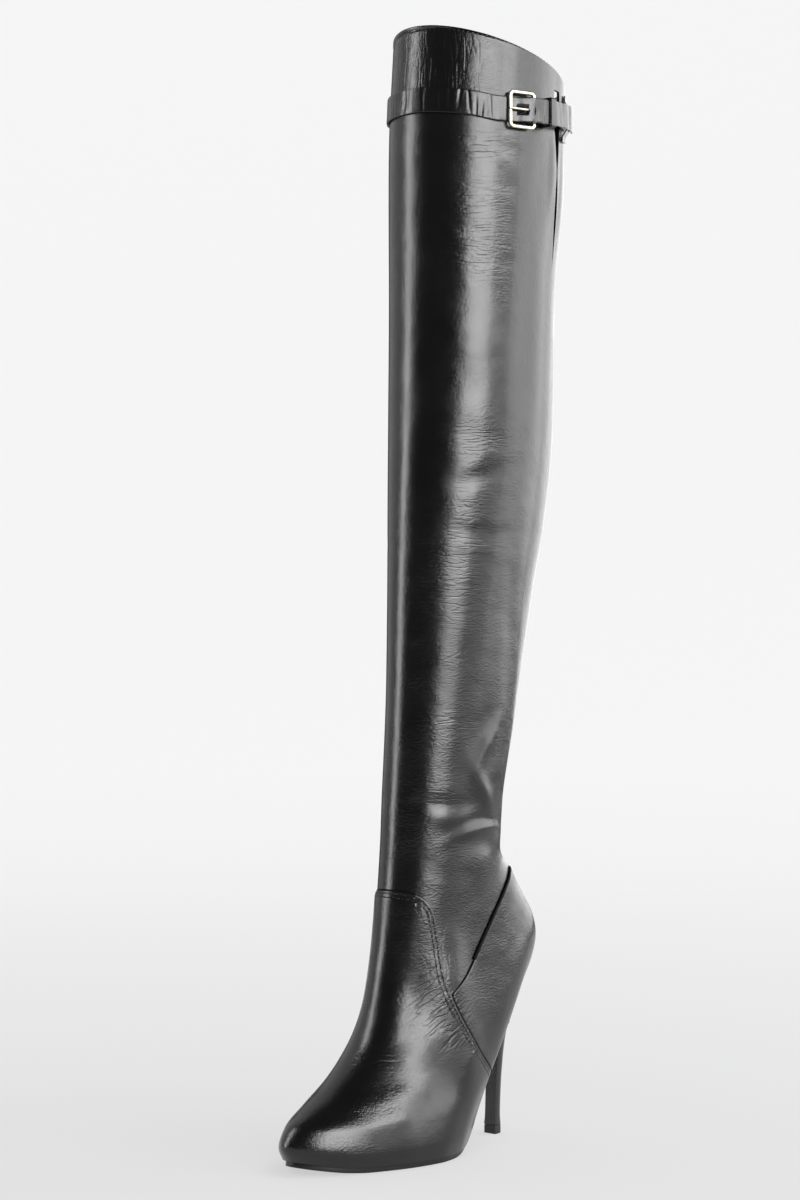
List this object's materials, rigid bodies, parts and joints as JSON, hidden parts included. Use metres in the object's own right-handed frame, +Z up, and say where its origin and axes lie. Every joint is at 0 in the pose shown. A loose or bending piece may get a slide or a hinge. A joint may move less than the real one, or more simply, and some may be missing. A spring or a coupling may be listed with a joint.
{
  "type": "thigh high boot",
  "caption": "Left thigh high boot in black leather: pointed toe, slim high heel, tall hollow shaft with a rear slit, and a buckled strap at the top.",
  "frame": {"origin": "on the floor, under the flat of the forefoot", "axes": "+Z up the shaft, -Y towards the toe, +X towards the outer side of this left boot"},
  "size_m": [0.1218, 0.2448, 0.7423],
  "materials": {
    "upper_leather": "semi-gloss",
    "strap_leather": "gloss",
    "heel_cover": "semi-gloss",
    "lining": "matte",
    "sole": "satin",
    "heel_tip": "matte",
    "buckle_metal": "polished"
  },
  "bodies": {
    "root": {"upper": "upper_leather", "vamp": "upper_leather", "counter": "upper_leather", "outsole": "sole", "insole": "lining", "heel": "heel_cover", "heel_tip": "heel_tip", "strap": "strap_leather", "buckle_chape": "strap_leather", "strap_keeper": "strap_leather", "shaft_loop": "strap_leather", "buckle_frame": "buckle_metal", "buckle_prong": "buckle_metal"}
  },
  "joints": []
}
